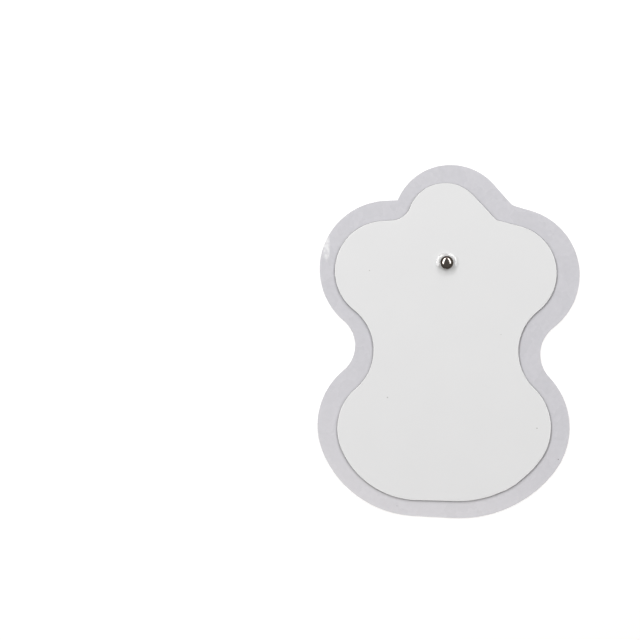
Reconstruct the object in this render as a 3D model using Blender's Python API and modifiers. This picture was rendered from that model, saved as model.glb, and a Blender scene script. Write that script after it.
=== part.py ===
"""A snap-on TENS electrode pad, stuck to its clear release liner and lying flat with the snap stud up.

Everything is in metres, +Y towards the head of the pad and +Z up out of the stud. The origin is the
middle of the liner's underside. From below: liner, hydrogel, conductive film and backing film, with a
two-piece metal snap that clamps the conductive film and pokes out through the backing film.
"""

from dataclasses import dataclass
from math import acos, atan2, ceil, cos, pi, radians, sin, sqrt, tan

import bmesh
import bpy
from mathutils import Matrix, Vector

MM = 0.001

# Die-cut outline of the pad
PAD_LENGTH = 93.7 * MM
HEAD_RADIUS = 11.1 * MM


@dataclass(frozen=True)
class Side:
    """One side of the outline, from the head down to the base. Reaches are from the centre line."""

    flank: float  # direction from the head's centre to where its arc runs into the straight flank
    slope: float  # direction from the shoulder's centre to where the straight slope meets its arc
    notch_radius: float
    liner_notch_radius: float
    shoulder_reach: float
    shoulder_drop: float  # from the top of the head down to the shoulder's centre
    shoulder_radius: float
    waist_reach: float
    liner_waist_reach: float
    hip_reach: float
    hip_height: float  # from the base line up to the hip's centre
    hip_radius: float
    base_radius: float


# The cut isn't quite even: the right notch is the sharper one, and the left hip is the smaller one
RIGHT = Side(
    flank=radians(44.4),
    slope=radians(76.6),
    notch_radius=1.5 * MM,
    liner_notch_radius=3.2 * MM,
    shoulder_reach=33.2 * MM,
    shoulder_drop=26.1 * MM,
    shoulder_radius=14.2 * MM,
    waist_reach=22.45 * MM,
    liner_waist_reach=28.5 * MM,
    hip_reach=32.6 * MM,
    hip_height=21.9 * MM,
    hip_radius=16.1 * MM,
    base_radius=29.6 * MM,
)
LEFT = Side(
    flank=radians(19.0),
    slope=radians(85.2),
    notch_radius=6.4 * MM,
    liner_notch_radius=1.2 * MM,
    shoulder_reach=32.15 * MM,
    shoulder_drop=26.3 * MM,
    shoulder_radius=14.7 * MM,
    waist_reach=20.2 * MM,
    liner_waist_reach=26.15 * MM,
    hip_reach=30.35 * MM,
    hip_height=20.9 * MM,
    hip_radius=15.6 * MM,
    base_radius=24.8 * MM,
)

# Release liner: how far it runs past the pad, and how the pad was laid on it
LINER_MARGIN = 5.7 * MM
LINER_SHORTER = 1.05 * MM  # its own die is this much shorter than an even margin would make it
LINER_TURN = radians(1.66)
LINER_SLIP_X = -0.78 * MM
LINER_SLIP_Y = 0.3 * MM

# Thickness of each layer, from the bottom up, and the room left at each face that bonds
LINER_THICKNESS = 0.2 * MM
GEL_THICKNESS = 0.4 * MM
CONDUCTIVE_THICKNESS = 0.1 * MM
BACKING_THICKNESS = 0.15 * MM
BOND = 0.02 * MM

# Snap, placed on the pad
SNAP_X = 0.7 * MM
SNAP_DROP = 23.45 * MM  # from the top of the head
FIT = 0.05 * MM  # room round the metal where it passes through or sits in something

# Snap stud, a thin shell drawn from sheet: ball, neck and flange
BALL_RADIUS = 1.95 * MM
BALL_DOME = 1.0 * MM
BALL_UNDERCUT = 0.65 * MM
NECK_RADIUS = 1.5 * MM
NECK_LENGTH = 0.7 * MM
FLANGE_RADIUS = 2.85 * MM
FLANGE_RIM = 0.25 * MM
FLANGE_RISE = 0.4 * MM  # the flange's cone, from its rim up to the neck
STUD_WALL = 0.3 * MM

# Snap eyelet: a disc with a hollow post, whose end is flared inside the ball
EYELET_RADIUS = 2.85 * MM
EYELET_THICKNESS = 0.2 * MM
POST_WALL = 0.2 * MM
POST_FLARE = 0.15 * MM

# Bump that the backing film was pressed into over the stud's flange
BUMP_SLOPE = radians(42)  # where the film leaves the flange's rim
FOOT_SLOPE = radians(10)  # where its hollow foot runs out into the flat film

# Dot that keeps the eyelet off the gel
DOT_RADIUS = 3.3 * MM
DOT_THICKNESS = 0.06 * MM

# How finely round shapes are cut into straight pieces
OUTLINE_ERROR = 0.012 * MM
TURNED_STEPS = 48
TURNED_ERROR = 0.01 * MM

# How far a cutter runs past the face that it opens
CUT_PAST = 1.0 * MM

# Heights of the layers' undersides, and of what the snap sits on
GEL_Z = LINER_THICKNESS + BOND
CONDUCTIVE_Z = GEL_Z + GEL_THICKNESS + BOND
BACKING_Z = CONDUCTIVE_Z + CONDUCTIVE_THICKNESS + BOND
EYELET_Z = CONDUCTIVE_Z - BOND - EYELET_THICKNESS
DOT_Z = EYELET_Z - BOND - DOT_THICKNESS
POCKET_Z = DOT_Z - BOND


def direction(angle):
    return Vector((cos(angle), sin(angle)))


def heading(vector):
    return atan2(vector.y, vector.x)


def arc(centre, radii, start, end, error):
    """Points from one angle to the other, close enough that each chord strays less than the error."""
    wide, tall = radii if isinstance(radii, tuple) else (radii, radii)
    step = 2 * acos(1 - min(0.5, error / max(wide, tall)))
    count = max(2, ceil(abs(end - start) / step))
    angles = [start + (end - start) * i / count for i in range(count + 1)]
    return [Vector((centre.x + wide * cos(a), centre.y + tall * sin(a))) for a in angles]


def crossing(first, first_reach, second, second_reach):
    """Where two lines meet, each given by its normal and its distance from the origin."""
    rows = Matrix(((first.x, first.y), (second.x, second.y)))
    return rows.inverted() @ Vector((first_reach, second_reach))


def waist_circle(side, margin, waist_reach, shoulder, hip):
    """Centre and radius of the circle that touches shoulder and hip and comes in to the waist's reach."""
    shoulder_radius = side.shoulder_radius + margin
    hip_radius = side.hip_radius + margin
    over_shoulder = side.shoulder_reach + margin - waist_reach
    over_hip = side.hip_reach + margin - waist_reach

    def beside(centre, radius):
        return (waist_reach - centre.x) ** 2 + centre.y**2 - radius**2

    # Setting the radius that each neighbour asks for equal leaves a quadratic in the height
    a = over_hip - over_shoulder
    half_b = over_shoulder * hip.y - over_hip * shoulder.y
    c = over_hip * beside(shoulder, shoulder_radius) - over_shoulder * beside(hip, hip_radius)
    root = sqrt(half_b**2 - a * c)
    height = c / (root - half_b) if half_b < 0 else c / (-root - half_b)
    offset = (waist_reach - shoulder.x) ** 2 + (height - shoulder.y) ** 2
    radius = (offset - shoulder_radius**2) / (2 * over_shoulder)
    return Vector((waist_reach + radius, height)), radius


def side_outline(side, margin, waist_reach, notch_radius):
    """Half the outline as seen on the right, from the top of the head to the base, grown by a margin."""
    head = Vector((0, PAD_LENGTH - HEAD_RADIUS))
    shoulder = Vector((side.shoulder_reach - side.shoulder_radius, PAD_LENGTH - side.shoulder_drop))
    hip = Vector((side.hip_reach - side.hip_radius, side.hip_height))

    flank = direction(side.flank)
    slope = direction(side.slope)
    flank_reach = flank @ head + HEAD_RADIUS + margin
    slope_reach = slope @ shoulder + side.shoulder_radius + margin
    corner = crossing(flank, flank_reach, slope, slope_reach)
    flank_start = head + flank * (HEAD_RADIUS + margin)
    slope_end = shoulder + slope * (side.shoulder_radius + margin)
    straight = min((corner - flank_start).length, (corner - slope_end).length)
    fillet = min(notch_radius, straight / tan((side.slope - side.flank) / 2))
    notch = crossing(flank, flank_reach + fillet, slope, slope_reach + fillet)

    waist, waist_radius = waist_circle(side, margin, waist_reach, shoulder, hip)
    shoulder_end = heading(waist - shoulder)
    hip_start = heading(waist - hip)

    base_across = sqrt((side.base_radius - side.hip_radius) ** 2 - (side.base_radius - hip.y) ** 2)
    base = Vector((hip.x - base_across, side.base_radius))
    hip_end = heading(hip - base)

    runs = (
        (head, HEAD_RADIUS + margin, pi / 2, side.flank),
        (notch, fillet, side.flank + pi, side.slope + pi),
        (shoulder, side.shoulder_radius + margin, side.slope, shoulder_end),
        (waist, waist_radius, shoulder_end + pi, hip_start + pi),
        (hip, side.hip_radius + margin, hip_start, hip_end),
        (base, side.base_radius + margin, hip_end, -pi / 2),
    )
    points = []
    for centre, radius, start, end in runs:
        for point in arc(centre, radius, start, end, OUTLINE_ERROR):
            if not points or (point - points[-1]).length > OUTLINE_ERROR:
                points.append(point)
    return points


def pad_outline():
    right = side_outline(RIGHT, 0, RIGHT.waist_reach, RIGHT.notch_radius)
    left = side_outline(LEFT, 0, LEFT.waist_reach, LEFT.notch_radius)
    return right + [Vector((-p.x, p.y)) for p in reversed(left[1:])]


def liner_outline():
    """The pad's outline grown by the margin, then turned and slipped as the pad was laid on it."""
    right = side_outline(RIGHT, LINER_MARGIN, RIGHT.liner_waist_reach, RIGHT.liner_notch_radius)
    left = side_outline(LEFT, LINER_MARGIN, LEFT.liner_waist_reach, LEFT.liner_notch_radius)
    whole = right + [Vector((-p.x, p.y)) for p in reversed(left[1:])]

    # Drawn together evenly from both ends, about the pad's middle
    squeeze = 1 - LINER_SHORTER / (PAD_LENGTH + 2 * LINER_MARGIN)
    shorter = [Vector((p.x, PAD_LENGTH / 2 + (p.y - PAD_LENGTH / 2) * squeeze)) for p in whole]
    slip = Vector((LINER_SLIP_X, LINER_SLIP_Y))
    return [Matrix.Rotation(-LINER_TURN, 2) @ point + slip for point in shorter]


def middle_of(points):
    wide = [p.x for p in points]
    tall = [p.y for p in points]
    return Vector(((min(wide) + max(wide)) / 2, (min(tall) + max(tall)) / 2, 0))


def clear_scene():
    for obj in list(bpy.data.objects):
        bpy.data.objects.remove(obj, do_unlink=True)


def new_collection(name):
    collection = bpy.data.collections.new(name)
    bpy.context.scene.collection.children.link(collection)
    return collection


def finish(name, colour, roughness, metallic=0.0, alpha=1.0):
    material = bpy.data.materials.new(name)
    material.use_nodes = True
    shader = material.node_tree.nodes["Principled BSDF"]
    shader.inputs["Base Color"].default_value = (*colour, 1.0)
    shader.inputs["Roughness"].default_value = roughness
    shader.inputs["Metallic"].default_value = metallic
    shader.inputs["Alpha"].default_value = alpha
    return material


def place(name, mesh, collection, parent, height=0.0, material=None):
    obj = bpy.data.objects.new(name, mesh)
    obj.parent = parent
    obj.location.z = height
    if material:
        mesh.materials.append(material)
    collection.objects.link(obj)
    return obj


def die_cut(name, outline, thickness, height, parent, collection, material):
    """A flat sheet of the outline: a filled curve with an extrusion, made a mesh and welded."""
    curve = bpy.data.curves.new(name, "CURVE")
    curve.dimensions = "2D"
    curve.fill_mode = "BOTH"
    curve.extrude = thickness / 2
    spline = curve.splines.new("POLY")
    spline.points.add(len(outline) - 1)
    for slot, point in zip(spline.points, outline):
        slot.co = (point.x, point.y, 0, 1)
    spline.use_cyclic_u = True
    shape = place(name + "_outline", curve, collection, parent)
    graph = bpy.context.evaluated_depsgraph_get()
    mesh = bpy.data.meshes.new_from_object(shape.evaluated_get(graph))
    mesh.name = name
    bpy.data.objects.remove(shape)
    bpy.data.curves.remove(curve)

    welded = bmesh.new()
    welded.from_mesh(mesh)
    bmesh.ops.remove_doubles(welded, verts=welded.verts, dist=thickness / 100)
    welded.to_mesh(mesh)
    welded.free()
    mesh.materials.clear()
    return place(name, mesh, collection, parent, height + thickness / 2, material)


def turned(name, profile, height, parent, collection, material=None, ring=False):
    """A profile in the XZ plane swept round the Z axis. A ring's profile closes on itself."""
    mesh = bpy.data.meshes.new(name)
    edges = [(i, i + 1) for i in range(len(profile) - 1)]
    if ring:
        edges.append((len(profile) - 1, 0))
    mesh.from_pydata([(p.x, 0, p.y) for p in profile], edges, [])
    obj = place(name, mesh, collection, parent, height, material)
    screw = obj.modifiers.new("Turn", "SCREW")
    screw.axis = "Z"
    screw.steps = TURNED_STEPS
    screw.render_steps = TURNED_STEPS
    screw.use_merge_vertices = True
    screw.merge_threshold = 0.001 * MM
    screw.use_smooth_shade = True
    return obj


def cutter(name, profile, height, parent, collection):
    obj = turned(name, profile, height, parent, collection)
    obj.hide_render = True
    obj.display_type = "WIRE"
    return obj


def combine(obj, other, operation):
    boolean = obj.modifiers.new(other.name, "BOOLEAN")
    boolean.operation = operation
    boolean.object = other
    boolean.solver = "EXACT"


def drum(radius, low, high):
    """Profile of a plain cylinder between two heights."""
    return [Vector((0, high)), Vector((radius, high)), Vector((radius, low)), Vector((0, low))]


# Heights inside the stud, from the underside of its flange
CONE_TOP = FLANGE_RIM + FLANGE_RISE
NECK_TOP = CONE_TOP + NECK_LENGTH
BALL_WAIST = NECK_TOP + BALL_UNDERCUT
BORE_RADIUS = NECK_RADIUS - STUD_WALL
POST_RADIUS = BORE_RADIUS - FIT
CONE_RUN = FLANGE_RADIUS - NECK_RADIUS
CONE_STEEPNESS = atan2(FLANGE_RISE, CONE_RUN)


def stud_profile():
    """Down the outside from the tip of the ball to the flange, then back up the inside of the shell."""
    outside = Vector((0, BALL_WAIST))
    neck_edge = Vector((NECK_RADIUS, BALL_WAIST))
    lip = (BALL_RADIUS - NECK_RADIUS, BALL_UNDERCUT)
    half_rim = FLANGE_RIM / 2  # the flange's rim is rolled round
    rim_centre = Vector((FLANGE_RADIUS - half_rim, half_rim))
    points = arc(outside, (BALL_RADIUS, BALL_DOME), pi / 2, 0, TURNED_ERROR)
    points += arc(neck_edge, lip, 0, -pi / 2, TURNED_ERROR)[1:]
    points.append(Vector((NECK_RADIUS, CONE_TOP)))
    points += arc(rim_centre, half_rim, pi / 2 - CONE_STEEPNESS, -pi / 2, TURNED_ERROR)
    points += [Vector((BORE_RADIUS, 0)), Vector((BORE_RADIUS, NECK_TOP))]
    hollow = (BALL_RADIUS - STUD_WALL, BALL_DOME - STUD_WALL)
    points += arc(outside, hollow, 0, pi / 2, TURNED_ERROR)
    return points


def eyelet_profile():
    """Down the outside of the post, over the disc, and back up the bore, from the disc's underside."""
    flare_top = EYELET_THICKNESS + CONDUCTIVE_THICKNESS + 2 * BOND + NECK_TOP + BALL_UNDERCUT / 2
    flare_start = flare_top - BALL_UNDERCUT / 2
    edge = EYELET_THICKNESS / 2
    points = [
        Vector((POST_RADIUS + POST_FLARE, flare_top)),
        Vector((POST_RADIUS, flare_start)),
        Vector((POST_RADIUS, EYELET_THICKNESS)),
    ]
    points += arc(Vector((EYELET_RADIUS - edge, edge)), edge, pi / 2, -pi / 2, TURNED_ERROR)
    points += [
        Vector((POST_RADIUS - POST_WALL, 0)),
        Vector((POST_RADIUS - POST_WALL, flare_start)),
        Vector((POST_RADIUS + POST_FLARE - POST_WALL, flare_top)),
    ]
    return points


def bump_profile(lift):
    """The backing film's form over the stud's flange, lifted this far above the film's underside."""
    grown = FIT + lift
    rim = Vector((FLANGE_RADIUS, FLANGE_RIM))
    hole = NECK_RADIUS + FIT
    at_hole = CONE_TOP + grown / cos(CONE_STEEPNESS) - (hole - NECK_RADIUS) * FLANGE_RISE / CONE_RUN
    points = [Vector((0, at_hole)), Vector((hole, at_hole))]
    points += arc(rim, grown, pi / 2 - CONE_STEEPNESS, pi / 2 - BUMP_SLOPE, TURNED_ERROR)

    # The hollow foot leaves the round over the rim at the bump's slope, and flattens out
    foot_radius = (FLANGE_RIM + FIT * cos(BUMP_SLOPE)) / (1 - cos(BUMP_SLOPE)) - lift
    foot_centre = rim + (grown + foot_radius) * direction(pi / 2 - BUMP_SLOPE)
    foot = arc(foot_centre, foot_radius, -pi / 2 - BUMP_SLOPE, -pi / 2 - FOOT_SLOPE, TURNED_ERROR)
    low = lift - BACKING_THICKNESS / 2
    run_out = (foot[-1].y - low) / tan(FOOT_SLOPE)
    points += foot[1:] + [Vector((foot[-1].x + run_out, low)), Vector((0, low))]
    return points


def build():
    clear_scene()
    pieces = new_collection("tens_electrode_pad")
    cutters = new_collection("cutters")

    clear_plastic = finish("clear_release_plastic", (0.62, 0.6, 0.68), 0.3, alpha=0.6)
    gel_finish = finish("clear_hydrogel", (0.75, 0.78, 0.76), 0.15, alpha=0.7)
    carbon = finish("carbon_film_black", (0.02, 0.02, 0.022), 0.55)
    white_film = finish("white_gloss_film", (0.78, 0.79, 0.79), 0.3)
    nickel = finish("nickel_plate", (0.42, 0.38, 0.34), 0.18, metallic=1.0)
    dot_plastic = finish("white_dot_tape", (0.8, 0.8, 0.78), 0.6)

    liner_shape = liner_outline()
    pad_shape = pad_outline()

    # The outlines start on the base line, so this puts the liner's middle at the origin
    pad = bpy.data.objects.new("pad_place", None)
    pad.location = -middle_of(liner_shape)
    pieces.objects.link(pad)
    snap = bpy.data.objects.new("snap_place", None)
    snap.parent = pad
    snap.location = (SNAP_X, PAD_LENGTH - SNAP_DROP, 0)
    pieces.objects.link(snap)

    die_cut("release_liner", liner_shape, LINER_THICKNESS, 0, pad, pieces, clear_plastic)

    gel = die_cut("hydrogel", pad_shape, GEL_THICKNESS, GEL_Z, pad, pieces, gel_finish)
    pocket = drum(DOT_RADIUS + FIT, 0, CONDUCTIVE_Z + CUT_PAST - POCKET_Z)
    combine(gel, cutter("eyelet_pocket", pocket, POCKET_Z, snap, cutters), "DIFFERENCE")

    sheet = die_cut(
        "conductive_film", pad_shape, CONDUCTIVE_THICKNESS, CONDUCTIVE_Z, pad, pieces, carbon
    )
    post_hole = drum(POST_RADIUS + FIT, -CUT_PAST, CUT_PAST)
    combine(sheet, cutter("post_hole", post_hole, CONDUCTIVE_Z, snap, cutters), "DIFFERENCE")

    backing = die_cut(
        "backing_film", pad_shape, BACKING_THICKNESS, BACKING_Z, pad, pieces, white_film
    )
    bump = bump_profile(BACKING_THICKNESS)
    combine(backing, cutter("flange_bump", bump, BACKING_Z, snap, cutters), "UNION")
    hollow = bump_profile(0)
    combine(backing, cutter("flange_hollow", hollow, BACKING_Z, snap, cutters), "DIFFERENCE")
    neck_hole = drum(NECK_RADIUS + FIT, -CUT_PAST, CONE_TOP + CUT_PAST)
    combine(backing, cutter("neck_hole", neck_hole, BACKING_Z, snap, cutters), "DIFFERENCE")

    turned("snap_stud", stud_profile(), BACKING_Z, snap, pieces, nickel)
    turned("snap_eyelet", eyelet_profile(), EYELET_Z, snap, pieces, nickel, ring=True)
    dot = drum(DOT_RADIUS, 0, DOT_THICKNESS)
    turned("insulating_dot", dot, DOT_Z, snap, pieces, dot_plastic)


build()
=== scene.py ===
# %% [markdown]
# # A snap-on electrode pad on its release liner
#
# The pad lies flat on its clear liner, as it comes out of its sachet, and the camera looks
# straight down on it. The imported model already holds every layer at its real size. This lesson
# lights the pad as in the photograph, forms again the pieces whose fine shape shows, and gives
# each layer its finish.

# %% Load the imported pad
import math

import bmesh
import bpy
from mathutils import Matrix, Vector


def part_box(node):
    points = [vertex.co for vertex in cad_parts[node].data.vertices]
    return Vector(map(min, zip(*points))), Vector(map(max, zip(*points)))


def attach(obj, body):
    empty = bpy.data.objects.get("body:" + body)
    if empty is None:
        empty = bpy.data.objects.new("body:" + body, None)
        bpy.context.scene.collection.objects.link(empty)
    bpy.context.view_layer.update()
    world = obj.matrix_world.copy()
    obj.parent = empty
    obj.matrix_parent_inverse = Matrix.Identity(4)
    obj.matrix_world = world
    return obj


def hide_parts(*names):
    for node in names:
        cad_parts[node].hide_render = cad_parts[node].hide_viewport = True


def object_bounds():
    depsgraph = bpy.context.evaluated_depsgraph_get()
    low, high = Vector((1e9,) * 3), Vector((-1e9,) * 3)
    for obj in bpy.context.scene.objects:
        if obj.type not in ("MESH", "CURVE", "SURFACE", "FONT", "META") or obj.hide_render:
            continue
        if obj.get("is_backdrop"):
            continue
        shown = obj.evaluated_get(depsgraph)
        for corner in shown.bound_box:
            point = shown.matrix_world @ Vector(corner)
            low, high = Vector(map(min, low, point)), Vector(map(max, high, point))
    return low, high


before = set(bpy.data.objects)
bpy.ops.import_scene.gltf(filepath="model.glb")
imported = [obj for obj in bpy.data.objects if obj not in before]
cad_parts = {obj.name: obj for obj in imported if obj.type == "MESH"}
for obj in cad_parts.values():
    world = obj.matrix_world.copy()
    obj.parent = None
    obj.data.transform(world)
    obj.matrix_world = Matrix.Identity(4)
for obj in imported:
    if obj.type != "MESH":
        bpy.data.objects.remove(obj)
cad_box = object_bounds()
print("nodes:", sorted(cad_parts))

# %% [markdown]
# ## What the frame gives
#
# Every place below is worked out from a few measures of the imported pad: where the snap stands,
# and where the backing film is flat. The film's highest point is its bump over the snap, so its
# flat top is looked for away from the snap.

# %% Measure the pad
MM = 0.001
CLEAR_OF_SNAP = 8 * MM

snap = sum(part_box("snap_stud"), Vector((0, 0, 0))) / 2
film_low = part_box("backing_film")[0].z
film_points = [v.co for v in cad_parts["backing_film"].data.vertices]
flat_top = max(p.z for p in film_points if (p - snap).xy.length > CLEAR_OF_SNAP)
film_thickness = flat_top - film_low
print(f"snap at {snap.x / MM:.2f}, {snap.y / MM:.2f} mm; film {film_thickness / MM:.2f} mm thick")

# %% [markdown]
# ## The camera
#
# The photograph was taken from straight above, with the pad to the right of the picture's middle
# and leaning a little clockwise. The snap's ball, a standard size, gives the scale. So the camera
# hangs over the point that shows in the middle of the photograph, and its lens is long, because
# neither side of the pad shows more of its edge than the other.

# %% Place the camera
PHOTO_WIDTH = 640
PIXEL = 0.295 * MM
SNAP_PIXEL = Vector((446.6, 262.6))
LEAN = math.radians(1.37)
CAMERA_HEIGHT = 1.0


def from_pixel(x, y):
    """The point on the film's flat top that shows at a pixel of the photograph."""
    across = (x - SNAP_PIXEL.x) * PIXEL
    up = (SNAP_PIXEL.y - y) * PIXEL
    turned = Matrix.Rotation(LEAN, 2) @ Vector((across, up))
    return Vector((snap.x + turned.x, snap.y + turned.y, flat_top))


camera_data = bpy.data.cameras.new("camera")
camera_data.lens = camera_data.sensor_width * CAMERA_HEIGHT / (PHOTO_WIDTH * PIXEL)
camera = bpy.data.objects.new("camera", camera_data)
camera.location = from_pixel(PHOTO_WIDTH / 2, PHOTO_WIDTH / 2) + Vector((0, 0, CAMERA_HEIGHT))
camera.rotation_euler.z = LEAN
bpy.context.scene.collection.objects.link(camera)
bpy.context.scene.camera = camera
bpy.context.scene.view_settings.view_transform = "Standard"
print(f"lens {camera_data.lens:.0f} mm, over {camera.location.x / MM:.1f}, {camera.location.y / MM:.1f} mm")

# %% [markdown]
# ## Shader maths
#
# A finish is a pattern fed to a shader. Written as nodes, even a short sum takes many lines, so a
# small class stands for one output socket, and sums and products of such wires add the Math nodes.
# Any other node comes from one method, which takes its type, then its settings, then its sockets.

# %% Wires and node trees
class Wire:
    """An output socket. Arithmetic on wires adds Math nodes to the tree that they are in."""

    def __init__(self, nodes, socket):
        self.nodes = nodes
        self.socket = socket

    def math(self, operation, first, second):
        return self.nodes.add("ShaderNodeMath", {"operation": operation}, {0: first, 1: second})

    def __add__(self, other):
        return self.math("ADD", self, other)

    def __radd__(self, other):
        return self.math("ADD", other, self)

    def __sub__(self, other):
        return self.math("SUBTRACT", self, other)

    def __rsub__(self, other):
        return self.math("SUBTRACT", other, self)

    def __mul__(self, other):
        return self.math("MULTIPLY", self, other)

    def __rmul__(self, other):
        return self.math("MULTIPLY", other, self)


class Nodes:
    """A node tree and the ways in which this pad's finishes add to it."""

    def __init__(self, tree):
        self.tree = tree

    def add(self, kind, settings=None, sockets=None, out=0):
        """A node of that type, with its settings, then its sockets' values or wires."""
        node = self.tree.nodes.new(kind)
        for name, value in (settings or {}).items():
            setattr(node, name, value)
        for name, value in (sockets or {}).items():
            self.join(value, node.inputs[name])
        return Wire(self, node.outputs[out])

    def join(self, value, socket):
        if isinstance(value, Wire):
            self.tree.links.new(value.socket, socket)
        else:
            socket.default_value = value

    def between(self, factor, first, second):
        """A colour that goes from the first to the second as the factor goes from 0 to 1."""
        ends = {0: factor, 6: first, 7: second}
        return self.add("ShaderNodeMix", {"data_type": "RGBA"}, ends, out=2)

    def ramp(self, value, low, high, low_gives=0.0, high_gives=1.0):
        """A soft step from one level to another as the value goes from low to high."""
        limits = {"Value": value, "From Min": low, "From Max": high}
        limits.update({"To Min": low_gives, "To Max": high_gives})
        return self.add("ShaderNodeMapRange", {"interpolation_type": "SMOOTHSTEP"}, limits)

    def vector(self, operation, first, second, out=0):
        return self.add("ShaderNodeVectorMath", {"operation": operation}, {0: first, 1: second}, out)


class Finish(Nodes):
    """A material whose patterns are in metres on the piece itself."""

    def __init__(self, name):
        self.material = bpy.data.materials.new(name)
        self.material.use_nodes = True
        super().__init__(self.material.node_tree)
        self.shader = self.tree.nodes["Principled BSDF"]
        self.place = self.add("ShaderNodeTexCoord", out="Object")

    def noise(self, size, detail=2.0, roughness=0.5, place=None):
        """Cloudy noise whose lumps are about as wide as the size, around 0.5."""
        sockets = {"Vector": place or self.place, "Scale": 1 / size}
        sockets.update({"Detail": detail, "Roughness": roughness})
        return self.add("ShaderNodeTexNoise", sockets=sockets)

    def cells(self, size):
        """Distance from the middle of irregular cells about as wide as the size."""
        sockets = {"Vector": self.place, "Scale": 1 / size}
        return self.add("ShaderNodeTexVoronoi", {"feature": "SMOOTH_F1"}, sockets)

    def spots(self, spots):
        """1 inside round spots, each a point and a radius, and 0 away from them."""
        whole = 0.0
        for point, radius in spots:
            whole = self.ramp(self.off_axis(point), radius / 2, radius, 1.0, 0.0) + whole
        return whole

    def off_axis(self, point):
        """How far the surface is from an upright axis through a point."""
        level = self.vector("MULTIPLY", self.place, (1, 1, 0))
        return self.vector("DISTANCE", level, (point.x, point.y, 0), out="Value")

    def bump(self, height, depth):
        """Feeds the surface's normal with a height from 0 to 1 that stands for this depth."""
        self.feed({"Normal": self.add("ShaderNodeBump", sockets={"Height": height, "Distance": depth})})

    def feed(self, sockets):
        for name, value in sockets.items():
            self.join(value, self.shader.inputs[name])


print("ready to wire finishes")

# %% [markdown]
# ## The light
#
# The ball shows what lit the pad: two long softboxes, left and right, that run past the head of
# the pad and close in on each other, with darkness between them overhead. The pad's shadow is
# only a thin line, so they hung high. Two long area lamps do the same. The left one is wider and
# brighter, because the picture darkens to the right. Their strength is given as the brightness
# that a mirror would show.

# %% Hang the two softboxes
LEFT_BOX = (Vector((-0.64, -0.20, 0.75)), Vector((-0.32, 0.95, 0.75)))
RIGHT_BOX = (Vector((0.62, -0.11, 0.75)), Vector((0.26, 0.95, 0.75)))
LEFT_WIDTH = 0.26
RIGHT_WIDTH = 0.21
LEFT_BRIGHTNESS = 7.4
RIGHT_BRIGHTNESS = 6.0


def softbox(name, near, far, width, brightness):
    """A long lamp from one point to another, turned about that line to face the pad."""
    along = (far - near).normalized()
    across = (-near).cross(along).normalized()
    back = across.cross(along)
    data = bpy.data.lights.new(name, "AREA")
    data.shape = "RECTANGLE"
    data.size = width
    data.size_y = (far - near).length
    data.energy = brightness * math.pi * data.size * data.size_y
    lamp = bpy.data.objects.new(name, data)
    turn = Matrix((across, along, back)).transposed().to_4x4()
    lamp.matrix_world = Matrix.Translation((near + far) / 2) @ turn
    lamp.visible_camera = False
    bpy.context.scene.collection.objects.link(lamp)


softbox("softbox_left", *LEFT_BOX, LEFT_WIDTH, LEFT_BRIGHTNESS)
softbox("softbox_right", *RIGHT_BOX, RIGHT_WIDTH, RIGHT_BRIGHTNESS)
print(f"left softbox {(LEFT_BOX[1] - LEFT_BOX[0]).length:.2f} m long")

# %% [markdown]
# The room is dim, so that the metal keeps its dark tone. Near the horizon it turns white, which is
# what a low view sees behind the floor. A pinkish glow fills the gap between the far ends of the
# softboxes, where the ball's two bright streaks meet.

# %% Dim the room
ROOM = (0.20, 0.185, 0.17, 1)
BLACK = (0, 0, 0, 1)
WHITE = (1, 1, 1, 1)
HORIZON_TOP = 0.11
ROOM_START = 0.2
SOFTBOX_GAP = (0, 0.89, 0.45)
GAP_RADIUS = 0.3
GAP_GLOW = (1.0, 0.86, 0.88, 1)

world = bpy.data.worlds.new("studio_room")
world.use_nodes = True
bpy.context.scene.world = world
sky = Nodes(world.node_tree)
direction = sky.add("ShaderNodeTexCoord", out="Generated")
upward = sky.add("ShaderNodeSeparateXYZ", sockets={"Vector": direction}, out="Z")
off_gap = sky.vector("DISTANCE", direction, SOFTBOX_GAP, out="Value")
room_light = sky.between(sky.ramp(off_gap, GAP_RADIUS / 2, GAP_RADIUS), GAP_GLOW, ROOM)
room_colour = sky.between(sky.ramp(upward, HORIZON_TOP, ROOM_START), WHITE, room_light)
sky.join(room_colour, world.node_tree.nodes["Background"].inputs["Color"])
print("room at", ROOM[:3])

# %% [markdown]
# The floor is a plain white table top. The camera, and the reflections in metal and gel, see it
# with a little extra light of its own, which grows to full white where the softboxes don't reach.
# The light on the pad stays as it is, and the floor keeps the pad's shadow.

# %% Lay the floor
FLOOR_SIZE = 30.0
FLOOR_GAP = 0.03 * MM
FLOOR_WHITE = (0.96, 0.96, 0.96, 1)
GLOW_NEAR = 0.1
GLOW_START = 0.3
GLOW_FULL = 1.6

bpy.ops.object.select_all(action="DESELECT")
bpy.ops.mesh.primitive_plane_add(size=FLOOR_SIZE, location=(0, 0, -FLOOR_GAP))
floor = bpy.context.object
floor.name = "floor"
table = Finish("white_table_top")
rays = table.add("ShaderNodeLightPath", out="Is Camera Ray")
for kind in ("Is Glossy Ray", "Is Transmission Ray"):
    rays = rays.math("MAXIMUM", rays, table.add("ShaderNodeLightPath", out=kind))
away = table.vector("LENGTH", table.place, (0, 0, 0), out="Value")
glow = rays * table.ramp(away, GLOW_START, GLOW_FULL, GLOW_NEAR, 1.0)
table.feed({"Base Color": FLOOR_WHITE, "Roughness": 1.0, "Specular IOR Level": 0.0})
table.feed({"Emission Color": table.between(glow, BLACK, WHITE), "Emission Strength": 1.0})
floor.data.materials.append(table.material)
floor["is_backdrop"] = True
print("floor", FLOOR_SIZE, "m wide")

# %% [markdown]
# ## Working on copies
#
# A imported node's mesh is loose triangles. A piece that is formed again starts from a merged copy of
# it, so that it fits the frame exactly. The layers' flat areas are also joined into single faces.
# The picker selects by place, which is how a hand would pick the same edges each time.

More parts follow.
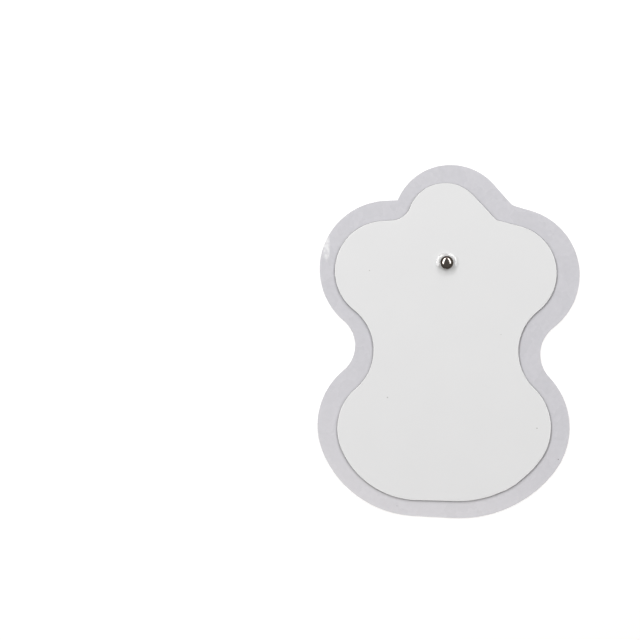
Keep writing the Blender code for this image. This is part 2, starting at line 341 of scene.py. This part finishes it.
# %% Copy a node, and pick parts of it
MERGE = 0.002 * MM
FLAT = math.radians(0.3)
PARTS = {"VERT": "verts", "EDGE": "edges", "FACE": "faces"}


def only(obj):
    bpy.ops.object.select_all(action="DESELECT")
    obj.select_set(True)
    bpy.context.view_layer.objects.active = obj


def copy_of(node, name):
    """A merged copy of a node's mesh, in edit mode and selected."""
    piece = bpy.data.objects.new(name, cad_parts[node].data.copy())
    piece.data.name = name
    piece.data.materials.clear()
    bpy.context.scene.collection.objects.link(piece)
    only(piece)
    bpy.ops.object.mode_set(mode="EDIT")
    bpy.ops.mesh.select_all(action="SELECT")
    bpy.ops.mesh.remove_doubles(threshold=MERGE)
    return piece


def flat_copy_of(node, name):
    """A copy whose flat areas are joined into single faces."""
    piece = copy_of(node, name)
    bpy.ops.mesh.dissolve_limited(angle_limit=FLAT)
    return piece


def pick(piece, kind, test):
    """Selects only the vertices, edges or faces that pass a test. Returns how many did."""
    bpy.ops.mesh.select_mode(type=kind)
    bpy.ops.mesh.select_all(action="DESELECT")
    mesh = bmesh.from_edit_mesh(piece.data)
    chosen = [part for part in getattr(mesh, PARTS[kind]) if test(part)]
    for part in chosen:
        part.select_set(True)
    mesh.select_flush_mode()
    bmesh.update_edit_mesh(piece.data)
    return len(chosen)


def reach(point):
    """How far a point is from the snap's axis."""
    return (point - snap).xy.length


def level_at(part, height):
    return all(abs(v.co.z - height) < MERGE for v in part.verts)


def modify(piece, kind, **settings):
    """Adds a modifier, sets it and applies it."""
    bpy.ops.object.mode_set(mode="OBJECT")
    only(piece)
    modifier = piece.modifiers.new(kind.lower(), kind)
    for name, value in settings.items():
        setattr(modifier, name, value)
    bpy.ops.object.modifier_apply(modifier=modifier.name)


def take_place(piece, node, finish, smooth_angle=30):
    """Ends the work on a piece, and puts it on the pad in the node's place."""
    bpy.ops.object.mode_set(mode="OBJECT")
    only(piece)
    bpy.ops.object.shade_smooth_by_angle(angle=math.radians(smooth_angle))
    piece.data.materials.append(finish.material)
    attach(piece, "root")
    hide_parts(node)
    print(piece.name, "stands for", node, "with", len(piece.data.polygons), "faces")


print("helpers ready")

# %% [markdown]
# ## The white film
#
# The film is a smooth white plastic skin with a soft gloss. Away from the softboxes it shows hardly
# any texture: a slow cloudiness, a fine orange peel that blurs reflections, and a few dark specks
# of dust, each about as wide as a pinprick, which are placed where the photograph shows them. Its
# cut edge is painted paler, as a painted highlight, and a painted contact shadow lies as a grey
# ring round the neck, a little to the left of it.

# %% Tone and gloss of the white film
FILM_DIM = (0.758, 0.770, 0.782, 1)
FILM_LIGHT = (0.781, 0.793, 0.804, 1)
FILM_CLOUD = 14 * MM
PEEL_SIZE = 0.9 * MM
PEEL_DEPTH = 0.004 * MM

white_film = Finish("white_gloss_film")
film_clouds = white_film.noise(FILM_CLOUD, detail=3)
film_tone = white_film.between(film_clouds, FILM_DIM, FILM_LIGHT)
white_film.feed({"Roughness": 0.10 + 0.08 * film_clouds, "IOR": 1.65})
white_film.bump(white_film.noise(PEEL_SIZE), PEEL_DEPTH)
print("peel", PEEL_SIZE / MM, "mm wide")

# %% Dust, painted edge highlight and painted contact shadow of the white film
DUST = (0.20, 0.19, 0.18, 1)
FILM_SPECKS = (
    (from_pixel(369.5, 270.5), 0.14 * MM),
    (from_pixel(387.5, 397.5), 0.18 * MM),
    (from_pixel(501.0, 334.5), 0.12 * MM),
    (from_pixel(537.0, 428.2), 0.18 * MM),
)
EDGE_HIGHLIGHT_WHITE = (0.95, 0.955, 0.96, 1)
EDGE_HIGHLIGHT_DEPTH = 0.012 * MM
CONTACT_SHADOW_GREY = (0.40, 0.40, 0.39, 1)
SHADOW_RING_STRENGTH = 0.6
SHADOW_RING_MIDDLE = snap + Vector((-0.45 * MM, 0.20 * MM, 0))
SHADOW_RING_INNER = 2.1 * MM
SHADOW_RING_OUTER = 2.9 * MM

film_tone = white_film.between(white_film.spots(FILM_SPECKS), film_tone, DUST)
film_height = white_film.add("ShaderNodeSeparateXYZ", sockets={"Vector": white_film.place}, out="Z")
# Painted highlight: the rolled cut edge, below the flat top, is painted paler than the film.
painted_edge_highlight = white_film.ramp(film_height, flat_top - EDGE_HIGHLIGHT_DEPTH, flat_top, 1.0, 0.0)
film_tone = white_film.between(painted_edge_highlight, film_tone, EDGE_HIGHLIGHT_WHITE)
# Painted contact shadow: a grey ring round the snap's neck, a little to the left of it.
painted_contact_shadow = white_film.ramp(white_film.off_axis(SHADOW_RING_MIDDLE), SHADOW_RING_INNER, SHADOW_RING_OUTER, SHADOW_RING_STRENGTH, 0.0)
white_film.feed({"Base Color": white_film.between(painted_contact_shadow, film_tone, CONTACT_SHADOW_GREY)})
print("film specks:", len(FILM_SPECKS))

# %% [markdown]
# The film is die-cut, so the blade has rolled its upper edge down, and it was drawn over the flange
# of the snap, which stands up under it like a washer. It could be a flat sheet with a bump map, but
# the white lines along its edge and round the snap are reflections in real slopes. So only the flat
# top of the node is kept, and the sheet is inset a few times, each time a little higher, which
# leaves the rolled edge.

# %% Roll the film's edge
ROLL_STEPS = ((0.05 * MM, 0.016 * MM), (0.07 * MM, 0.010 * MM), (0.08 * MM, 0.004 * MM), (0.3 * MM, 0))

film = flat_copy_of("backing_film", "formed_film")
pick(film, "FACE", lambda face: not level_at(face, flat_top))
bpy.ops.mesh.delete(type="FACE")
pick(film, "EDGE", lambda edge: edge.is_boundary and reach(edge.verts[0].co) < CLEAR_OF_SNAP)
bpy.ops.mesh.edge_face_add()
pick(film, "FACE", lambda face: True)
bpy.ops.mesh.dissolve_faces()
roll_drop = sum(rise for width, rise in ROLL_STEPS)
bpy.ops.transform.translate(value=(0, 0, -roll_drop))
for width, rise in ROLL_STEPS:
    bpy.ops.mesh.inset(thickness=width, depth=rise)
bpy.ops.mesh.delete(type="ONLY_FACE")
film_heights = [v.co.z for v in bmesh.from_edit_mesh(film.data).verts]
print(f"edge rolled from {min(film_heights) / MM:.3f} to {max(film_heights) / MM:.3f} mm")

# %% [markdown]
# The bump over the snap is pulled up ring by ring from a circle at its foot. The photograph's white
# glare hugs the ball, so the film is steepest at the neck and flattens out like the mouth of a
# trumpet. The rings are worked out like a section drawing: the hollow curve, a short cone, a round
# lip at the neck's hole, and the way back down on the underside, where drawing has thinned the film
# and the flange has its room. The glare sits a little to the lower left of the ball, so the rings
# drift that way towards the foot.

# %% Section of the bump
NECK_REACH = 1.5 * MM
SNAP_ROOM = 0.1 * MM
FOOT_REACH = 4.05 * MM
BUMP_HOLLOW = 4.0 * MM
BUMP_SLOPE = math.radians(30)
LIP_ROUND = 0.05 * MM
HOLE_THIN = 0.1 * MM
DRAWN_THIN = 0.025 * MM
THIN_REACH = 2.5 * MM
FLANGE_ROOM = 3.2 * MM
ARC_STEPS = 12
LIP_STEPS = 4

hole_reach = NECK_REACH + SNAP_ROOM


def arc(centre, radius, start, end, steps):
    """Rings along an arc from one angle to the other, each a reach and a height."""
    angles = [start + (end - start) * i / steps for i in range(steps + 1)]
    return [(centre[0] + radius * math.cos(a), centre[1] + radius * math.sin(a)) for a in angles]


def up_cone(ring, ring_reach):
    """Height of the cone that goes on inwards from a ring, at a smaller reach."""
    return ring[1] + (ring[0] - ring_reach) * math.tan(BUMP_SLOPE)


def under_film(ring):
    """The underside below a ring. The film is drawn thinner away from the hole's edge."""
    drawn = min(1, (ring[0] - hole_reach) / (THIN_REACH - hole_reach))
    return (ring[0], ring[1] - HOLE_THIN + drawn * (HOLE_THIN - DRAWN_THIN))


def bump_rings():
    """From the foot of the bump up to the neck's hole, and down again under the film."""
    upright = math.pi / 2
    hollow = (FOOT_REACH, film_thickness + BUMP_HOLLOW)
    upper = arc(hollow, BUMP_HOLLOW, -upright, -upright - BUMP_SLOPE, ARC_STEPS)
    lip_reach = hole_reach + LIP_ROUND
    lip_height = up_cone(upper[-1], lip_reach) - LIP_ROUND / math.cos(BUMP_SLOPE)
    lip = arc((lip_reach, lip_height), LIP_ROUND, upright - BUMP_SLOPE, math.pi, LIP_STEPS)
    over_flange = [ring for ring in reversed(upper) if ring[0] < FLANGE_ROOM]
    top_of_hole = (hole_reach, up_cone(upper[-1], hole_reach))
    under = [under_film(ring) for ring in [top_of_hole] + over_flange]
    return upper + lip + under + [(under[-1][0], 0)]


rings = bump_rings()
print(f"{len(rings)} rings, from a foot {rings[0][0] / MM:.2f} mm from the axis")

# %% Pull the bump up over the snap
RING_POINTS = 96
FLAT_COLLAR = 0.4 * MM
BUMP_LEAN = Vector((-0.30 * MM, -0.25 * MM, 0))


def middle_of(ring_reach):
    """The middle of a ring: the snap's axis at the hole, and off it at the foot."""
    return snap + BUMP_LEAN * (ring_reach - hole_reach) / (FOOT_REACH - hole_reach)


def ring_at(ring_reach):
    """A test for the open edges of the ring of this size."""
    def on_ring(vert):
        return abs((vert.co - middle_of(ring_reach)).xy.length - ring_reach) < MERGE

    return lambda edge: len(edge.link_faces) < 2 and all(on_ring(v) for v in edge.verts)


def pull(piece, first, others):
    """Picks the open ring at the first place and extrudes it through the others."""
    pick(piece, "EDGE", ring_at(first[0]))
    for (reach_now, height_now), (reach_next, height_next) in zip([first] + others, others):
        slide = middle_of(reach_next) - middle_of(reach_now)
        slide.z = height_next - height_now
        bpy.ops.mesh.extrude_region_move(TRANSFORM_OT_translate={"value": slide})
        scale = reach_next / reach_now
        bpy.ops.transform.resize(value=(scale, scale, 1), center_override=middle_of(reach_next))


bpy.ops.mesh.select_all(action="DESELECT")
collar = (rings[0][0] + FLAT_COLLAR, film_thickness)
collar_middle = middle_of(collar[0])
collar_middle.z = flat_top
bpy.ops.mesh.primitive_circle_add(vertices=RING_POINTS, radius=collar[0], location=collar_middle)
pick(film, "EDGE", lambda edge: len(edge.link_faces) < 2 and level_at(edge, flat_top))
bpy.ops.mesh.fill()
pull(film, collar, rings)
print("bump pulled from", RING_POINTS, "points a ring")

# %% [markdown]
# The die's blade is a bent strip, and its two ends meet at the lower right, where the photograph
# shows a small step in the outline. The edge just before the joint is pushed out by that step.

# %% Leave the step of the die's joint
JOINT = from_pixel(509.0, 486.5)
JOINT_REACH = 2.4 * MM
JOINT_STEP = (0.07 * MM, -0.13 * MM, 0)

bpy.ops.mesh.select_mode(type="VERT")
stepped = pick(film, "VERT", lambda vert: (vert.co - JOINT).xy.length < JOINT_REACH)
bpy.ops.transform.translate(value=JOINT_STEP)
print(stepped, "points moved at the die's joint")

# %% [markdown]
# The cut side goes straight down from the rolled edge, and the underside closes the film, with the
# room for the flange left open.

# %% Close the film
pick(film, "EDGE", lambda edge: edge.is_boundary and level_at(edge, flat_top - roll_drop))
down = (0, 0, film_low - flat_top + roll_drop)
bpy.ops.mesh.extrude_region_move(TRANSFORM_OT_translate={"value": down})
pick(film, "EDGE", lambda edge: edge.is_boundary and level_at(edge, film_low))
bpy.ops.mesh.fill()
bpy.ops.mesh.select_all(action="SELECT")
bpy.ops.mesh.normals_make_consistent(inside=False)
open_edges = pick(film, "EDGE", lambda edge: len(edge.link_faces) != 2)
print("open edges left:", open_edges)
take_place(film, "backing_film", white_film)

# %% [markdown]
# ## The gel
#
# The gel is a clear, wet layer that was cast on the carbon film and cut with it. The blade squeezes
# its edge, so it bulges a little past the film and its corners are round. A copy of its node gets
# its sides pushed out and both rims bevelled.

# %% Finish of the gel
GEL_DIM = (0.86, 0.90, 0.88, 1)
GEL_CLEAR = (0.92, 0.95, 0.93, 1)
GEL_CLOUD = 6 * MM
GEL_RIPPLE = 1.5 * MM
RIPPLE_DEPTH = 0.03 * MM

gel_finish = Finish("clear_wet_gel")
gel_clouds = gel_finish.noise(GEL_CLOUD)
gel_finish.feed({
    "Base Color": gel_finish.between(gel_clouds, GEL_DIM, GEL_CLEAR),
    "Roughness": 0.05 + 0.08 * gel_clouds,
    "IOR": 1.36,
    "Transmission Weight": 1.0,
})
gel_finish.bump(gel_finish.noise(GEL_RIPPLE), RIPPLE_DEPTH)
print("gel ripples", GEL_RIPPLE / MM, "mm wide")

# %% Round the gel's edge
GEL_BULGE = 0.08 * MM
GEL_ROUND = 0.15 * MM
UPRIGHT = 0.1


def outer_side(face):
    return abs(face.normal.z) < UPRIGHT and reach(face.verts[0].co) > CLEAR_OF_SNAP


def outer_rim(edge):
    return sum(outer_side(face) for face in edge.link_faces) == 1


gel = flat_copy_of("hydrogel", "soft_gel")
side_faces = pick(gel, "FACE", outer_side)
bpy.ops.transform.shrink_fatten(value=GEL_BULGE, use_even_offset=True)
rim_edges = pick(gel, "EDGE", outer_rim)
bpy.ops.mesh.bevel(offset=GEL_ROUND, segments=3)
print("gel sides:", side_faces, "rim edges:", rim_edges)
take_place(gel, "hydrogel", gel_finish)

# %% [markdown]
# ## The release liner
#
# The liner is a stiff clear plastic sheet. It looks lavender grey against the white table, because
# its lower side is embossed with a fine crinkle that scatters the light. Its finish lets part of
# the table through, its bump holds the crinkle, and it gets paler towards the middle of the pad's
# base. The bent flap at its left shoulder has a painted glare, white in fine cells up to a crease.

# %% Tone and crinkle of the liner
LINER_DIM = (0.70, 0.702, 0.75, 1)
LINER_LIGHT = (0.78, 0.782, 0.825, 1)
LINER_CLOUD = 9 * MM
CRINKLE_SIZE = 1.6 * MM
CRINKLE_DEPTH = 0.03 * MM
CLOUD_SHARE = 0.7
CRINKLE_SHARE = 0.6
MOTTLE_OFFSET = 0.15

liner_finish = Finish("clear_embossed_liner")
liner_clouds = liner_finish.noise(LINER_CLOUD, detail=3)
crinkle = liner_finish.noise(CRINKLE_SIZE, detail=3, roughness=0.6)
mottle = CLOUD_SHARE * liner_clouds + CRINKLE_SHARE * crinkle - MOTTLE_OFFSET
liner_tone = liner_finish.between(mottle, LINER_DIM, LINER_LIGHT)
liner_finish.feed({"Roughness": 0.2 + 0.15 * liner_clouds, "Alpha": 0.62 + 0.06 * crinkle})
liner_finish.bump(crinkle, CRINKLE_DEPTH)
print("crinkle", CRINKLE_SIZE / MM, "mm wide")

# %% Pale base, painted flap glare and dust of the liner
PALE_TONE = (0.88, 0.87, 0.90, 1)
PALE_STRENGTH = 0.5
PALE_PLACE = (-10 * MM, -55 * MM, 0)
PALE_NEAR = 15 * MM
PALE_FAR = 60 * MM
FLAP_GLARE_WHITE = (0.97, 0.98, 1.0, 1)
FLAP = from_pixel(327.0, 248.0)
FLAP_HALF_WIDTH = 1.5 * MM
FLAP_HALF_LENGTH = 4.5 * MM
FLAP_CORE = 0.5
FLAP_CELL = 0.7 * MM
CELL_HEART = 0.2
CELL_RIM = 0.7
CELL_RIM_GLARE = 0.35
CREASE = 0.9 * MM
CREASE_SOFT = 0.2 * MM
LINER_DUST = (0.25, 0.24, 0.25, 1)
LINER_SPECKS = (
    (from_pixel(558.5, 459.5), 0.2 * MM),
    (from_pixel(397.0, 506.0), 0.13 * MM),
)

from_base = liner_finish.vector("DISTANCE", liner_finish.place, PALE_PLACE, out="Value")
pale = liner_finish.ramp(from_base, PALE_NEAR, PALE_FAR, PALE_STRENGTH, 0.0)
liner_tone = liner_finish.between(pale, liner_tone, PALE_TONE)
# Painted glare: the flap is painted white in fine cells, up to the crease.
flap_place = liner_finish.vector("SUBTRACT", liner_finish.place, tuple(FLAP))
flap_stretch = (1 / FLAP_HALF_WIDTH, 1 / FLAP_HALF_LENGTH, 0)
flap_shape = liner_finish.vector("MULTIPLY", flap_place, flap_stretch)
flap_reach = liner_finish.vector("LENGTH", flap_shape, (0, 0, 0), out="Value")
flap_glare_mask = liner_finish.ramp(flap_reach, FLAP_CORE, 1.0, 1.0, 0.0)
flap_across = liner_finish.add("ShaderNodeSeparateXYZ", sockets={"Vector": flap_place}, out="X")
flap_glare_mask = flap_glare_mask * liner_finish.ramp(flap_across, CREASE - CREASE_SOFT, CREASE, 1.0, 0.0)
flap_glare_cells = liner_finish.cells(FLAP_CELL)
flap_glare_cells = liner_finish.ramp(flap_glare_cells, CELL_HEART, CELL_RIM, 1.0, CELL_RIM_GLARE)
liner_tone = liner_finish.between(flap_glare_mask * flap_glare_cells, liner_tone, FLAP_GLARE_WHITE)
liner_tone = liner_finish.between(liner_finish.spots(LINER_SPECKS), liner_tone, LINER_DUST)
liner_finish.feed({"Base Color": liner_tone})
print("liner specks:", len(LINER_SPECKS))

# %% [markdown]
# The liner's left shoulder has been bent up a little along a straight crease, and its finely
# crinkled flap carries a painted glare, paler in fine cells. A copy of the liner is cut along the
# crease and across it, and the flap's points are tilted up about it.

# %% Bend the flap up
FLAP_ROWS = 6
FLAP_TILT = math.radians(5)

liner = flat_copy_of("release_liner", "creased_liner")
crease_x = FLAP.x + CREASE


def cut_across(place, normal):
    bpy.ops.mesh.select_all(action="SELECT")
    bpy.ops.mesh.bisect(plane_co=place, plane_no=normal)


cut_across((crease_x, 0, 0), (1, 0, 0))
for row in range(FLAP_ROWS + 1):
    cut_across((0, FLAP.y + FLAP_HALF_LENGTH * (2 * row / FLAP_ROWS - 1), 0), (0, 1, 0))


def on_flap(vert):
    along = abs(vert.co.y - FLAP.y)
    return vert.co.x < crease_x - MERGE and along < FLAP_HALF_LENGTH - MERGE


lifted = pick(liner, "VERT", on_flap)
pivot = (crease_x, FLAP.y, 0)
bpy.ops.transform.rotate(value=-FLAP_TILT, orient_axis="Y", center_override=pivot)
flap_heights = [v.co.z for v in bmesh.from_edit_mesh(liner.data).verts if v.select]
print(lifted, "points on the flap, up to", round(max(flap_heights) / MM, 2), "mm")
take_place(liner, "release_liner", liner_finish)

# %% [markdown]
# ## The snap stud
#
# The stud is one piece of thin brass, drawn into a hollow ball and plated with nickel. The packed
# stud is turned in flat facets. A copy of it is subdivided, so that the softboxes show in it as
# smooth curves, and its sharp corners are creased first, so that they stay in place. The plate is
# darker towards the ball's widest line, partly tarnish and partly painted shade, and shines less
# at a grazing angle than clean nickel does. Fine rings from the drawing tool go round it.

# %% Finish of the nickel
NICKEL_BRIGHT = (0.32, 0.295, 0.275, 1)
NICKEL_DARK = (0.075, 0.062, 0.052, 1)
NICKEL_RIM = (0.5, 0.47, 0.44, 1)
BALL_REACH = 1.95 * MM
RIM_DARK_START = 0.62 * BALL_REACH
RIM_DARK_FULL = 0.95 * BALL_REACH
TURNED_RING = 0.08 * MM
RING_DEPTH = 0.002 * MM
TARNISH_SIZE = 0.7 * MM

nickel = Finish("nickel_with_tarnish_and_painted_shade")
spread = nickel.off_axis(snap)
rise = nickel.add("ShaderNodeSeparateXYZ", sockets={"Vector": nickel.place}, out="Z")
turned_place = nickel.add("ShaderNodeCombineXYZ", sockets={"X": spread, "Z": rise})
turned_rings = nickel.noise(TURNED_RING, place=turned_place)
tarnish = nickel.noise(TARNISH_SIZE, detail=3)
# Partly tarnish, partly painted shade: the plate darkens towards the ball's widest line, where it mirrors
# the shaded film round the neck.
rim_tarnish_and_shade = nickel.ramp(spread, RIM_DARK_START, RIM_DARK_FULL)
nickel.feed({
    "Base Color": nickel.between(rim_tarnish_and_shade, NICKEL_BRIGHT, NICKEL_DARK),
    "Metallic": 1.0,
    "Specular Tint": NICKEL_RIM,
    "Roughness": 0.08 + 0.1 * tarnish,
})
nickel.bump(turned_rings, RING_DEPTH)
print("nickel rings", TURNED_RING / MM, "mm apart")

# %% Smooth the stud
SHARP = math.radians(40)
STUD_SMOOTH = 60

stud = copy_of("snap_stud", "drawn_stud")
bpy.ops.mesh.tris_convert_to_quads()
bpy.ops.mesh.select_mode(type="EDGE")
bpy.ops.mesh.select_all(action="DESELECT")
bpy.ops.mesh.edges_select_sharp(sharpness=SHARP)
bpy.ops.transform.edge_crease(value=1)
modify(stud, "SUBSURF", levels=2, render_levels=2)
take_place(stud, "snap_stud", nickel, smooth_angle=STUD_SMOOTH)

# %% [markdown]
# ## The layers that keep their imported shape
#
# The carbon film only shows as a thin dark line between the white film and the gel, and the eyelet
# and its tape dot only through the snap's hole or from below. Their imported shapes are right, so they
# only get their finishes: black with the fine grain of carbon powder, the stud's own nickel, and the
# soft tooth of paper tape.

# %% Finish of the carbon film
CARBON_BLACK = (0.012, 0.012, 0.013, 1)
CARBON_GREY = (0.035, 0.035, 0.037, 1)
GRAIN_SIZE = 0.25 * MM
GRAIN_DEPTH = 0.01 * MM

carbon = Finish("black_carbon_film")
carbon_grain = carbon.noise(GRAIN_SIZE, detail=3)
carbon.feed({
    "Base Color": carbon.between(carbon_grain, CARBON_BLACK, CARBON_GREY),
    "Roughness": 0.55 + 0.2 * carbon_grain,
})
carbon.bump(carbon_grain, GRAIN_DEPTH)
print("carbon grain", GRAIN_SIZE / MM, "mm wide")

# %% Finish of the tape dot
TAPE_DIM = (0.74, 0.74, 0.71, 1)
TAPE_LIGHT = (0.84, 0.84, 0.82, 1)
FIBRE_SIZE = 0.3 * MM
FIBRE_DEPTH = 0.02 * MM

tape = Finish("white_paper_tape")
tape_fibres = tape.noise(FIBRE_SIZE, detail=4)
tape.feed({
    "Base Color": tape.between(tape_fibres, TAPE_DIM, TAPE_LIGHT),
    "Roughness": 0.7 + 0.15 * tape_fibres,
})
tape.bump(tape_fibres, FIBRE_DEPTH)
print("tape fibres", FIBRE_SIZE / MM, "mm wide")

# %% Dress the kept nodes
def dress(node, finish):
    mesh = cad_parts[node].data
    mesh.materials.clear()
    mesh.materials.append(finish.material)
    print(node, "keeps its shape, in", finish.material.name)


dress("conductive_film", carbon)
dress("snap_eyelet", nickel)
dress("insulating_dot", tape)

# %% [markdown]
# ## The size
#
# Both boxes, the imported pad's and the dressed pad's, are printed.

# %% Print the boxes and finish
boxes = {"cad": cad_box, "visual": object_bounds()}
for name, (low, high) in boxes.items():
    print(name, "box:", [round(length / MM, 2) for length in high - low], "mm")
